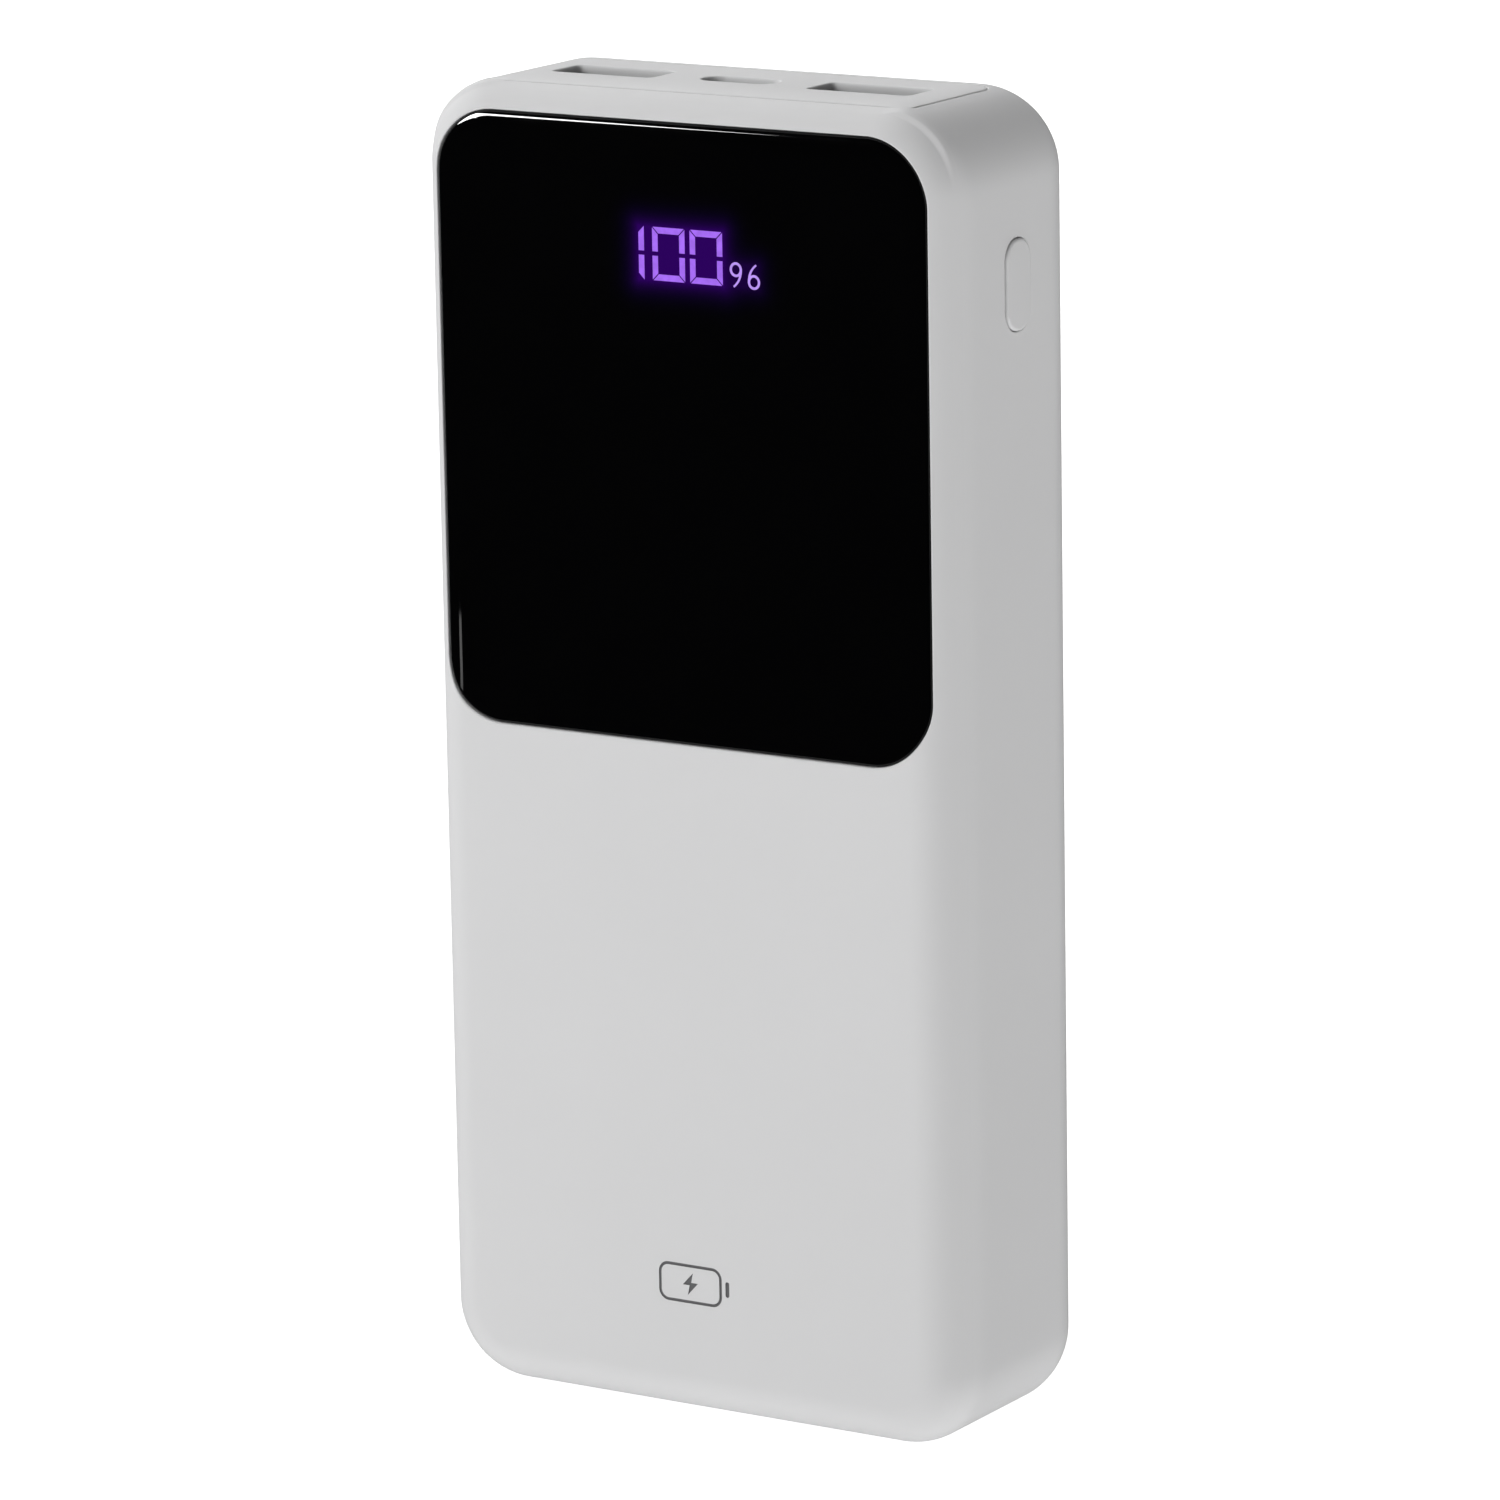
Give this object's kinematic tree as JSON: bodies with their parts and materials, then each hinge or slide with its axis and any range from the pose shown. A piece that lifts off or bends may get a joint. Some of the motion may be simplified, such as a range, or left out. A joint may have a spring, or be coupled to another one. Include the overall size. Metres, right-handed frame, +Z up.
{
  "type": "power bank",
  "caption": "Tall rounded power bank with a glossy display panel, top USB ports, a sprung side button, pouch cells and charging boards inside.",
  "frame": {"origin": "middle of the flat base the power bank stands on, at the middle of the body's width and depth", "axes": "+Z up towards the ports, -Y is the display side, +Y the plain back, +X the button side"},
  "size_m": [0.0691, 0.0304, 0.15],
  "materials": {
    "casing": "fine satin moulded plastic, off-white",
    "panel": "polished black acrylic with a lit charge gauge behind it",
    "display_light": "violet light through a tinted film",
    "tape": "black double-sided tape",
    "black_plastic": "moulded black",
    "steel": "nickel-plated stamped steel",
    "board": "green solder mask over glass-fibre board",
    "ferrite": "dark pressed ferrite",
    "can_aluminium": "drawn aluminium can",
    "pouch_foil": "laminated aluminium pouch film",
    "foam": "closed-cell foam",
    "insulation": "pressed insulation paper",
    "red_insulation": "silicone wire insulation",
    "nickel": "soft nickel strip"
  },
  "bodies": {
    "casing": {"front_housing": "casing", "rear_cover": "casing", "port_plate": "casing", "display_panel": "panel", "panel_tape": "tape", "switch_body": "steel", "usb_a_left_shell": "steel", "usb_a_left_insulator": "black_plastic", "usb_a_right_shell": "steel", "usb_a_right_insulator": "black_plastic", "usb_c_shell": "steel", "usb_c_insulator": "black_plastic", "main_board": "board", "display_board": "board", "display_block": "black_plastic", "display_film": "display_light", "display_header": "black_plastic", "controller_chip": "black_plastic", "charge_chip": "black_plastic", "board_screw_1": "steel", "board_screw_2": "steel", "board_screw_3": "steel", "board_screw_4": "steel", "inductor_1": "ferrite", "inductor_2": "ferrite", "capacitor_1": "can_aluminium", "capacitor_2": "can_aluminium", "capacitor_3": "can_aluminium", "cell_front": "pouch_foil", "cell_rear": "pouch_foil", "cell_tape": "tape", "front_foam_pad": "foam", "rear_foam_pad": "foam", "base_foam_pad": "foam", "guard_board": "board", "insulation_sheet": "insulation", "red_lead": "red_insulation", "black_lead": "black_plastic", "tab_front_positive": "nickel", "tab_front_negative": "nickel", "tab_rear_positive": "nickel", "tab_rear_negative": "nickel"},
    "button": {"power_button": "casing"},
    "plunger": {"switch_plunger": "black_plastic"}
  },
  "joints": [
    {"name": "button_press", "type": "slide", "parent": "casing", "child": "button", "axis": [-1, 0, 0], "range_m": [0, 0.0004], "stiffness_N_per_m": 800, "springref_m": -0.001},
    {"name": "plunger_press", "type": "slide", "parent": "casing", "child": "plunger", "axis": [-1, 0, 0], "range_m": [0, 0.0005]}
  ],
  "couplings": [
    {"joint": "plunger_press", "follows": "button_press", "ratio": 1}
  ]
}
